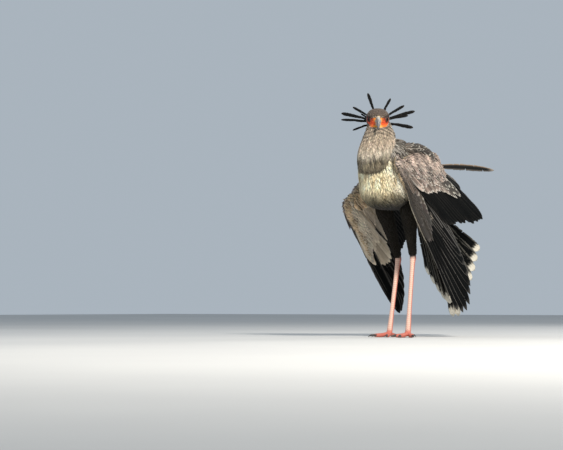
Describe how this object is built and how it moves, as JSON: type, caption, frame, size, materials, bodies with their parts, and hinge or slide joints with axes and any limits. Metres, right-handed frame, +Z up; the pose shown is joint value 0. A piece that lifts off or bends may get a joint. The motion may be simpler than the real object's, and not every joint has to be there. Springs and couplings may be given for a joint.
{
  "type": "secretary bird",
  "caption": "Life-size still model of a standing secretary bird, head turned to its left, crest fanned, both wings half open and drooped, one inner feather blown clear.",
  "frame": {"origin": "on the floor, under the middle of the whole bird", "axes": "+Z up, the bird faces -Y and its left side is +X"},
  "size_m": [0.3642, 0.7216, 0.9416],
  "materials": {
    "grey_plumage": "matte",
    "cream_plumage": "matte",
    "black_plumage": "satin",
    "wing_coverts": "matte",
    "leg_skin": "satin",
    "face_skin": "satin",
    "bill_horn": "satin",
    "claw_horn": "satin",
    "eye": "gloss"
  },
  "bodies": {
    "root": {"bill_lower": "bill_horn", "bill_upper": "bill_horn", "eye_left": "eye", "eye_right": "eye", "head": "grey_plumage", "left_claw_hind": "claw_horn", "left_claw_inner": "claw_horn", "left_claw_middle": "claw_horn", "left_claw_outer": "claw_horn", "left_foot": "leg_skin", "left_shank": "leg_skin", "left_thigh": "black_plumage", "left_wing_forearm": "wing_coverts", "left_wing_hand": "black_plumage", "left_wing_upper": "wing_coverts", "neck": "grey_plumage", "right_claw_hind": "claw_horn", "right_claw_inner": "claw_horn", "right_claw_middle": "claw_horn", "right_claw_outer": "claw_horn", "right_foot": "leg_skin", "right_shank": "leg_skin", "right_thigh": "black_plumage", "right_wing_forearm": "wing_coverts", "right_wing_hand": "black_plumage", "right_wing_upper": "wing_coverts", "tail": "black_plumage", "trunk": "cream_plumage"}
  },
  "joints": []
}
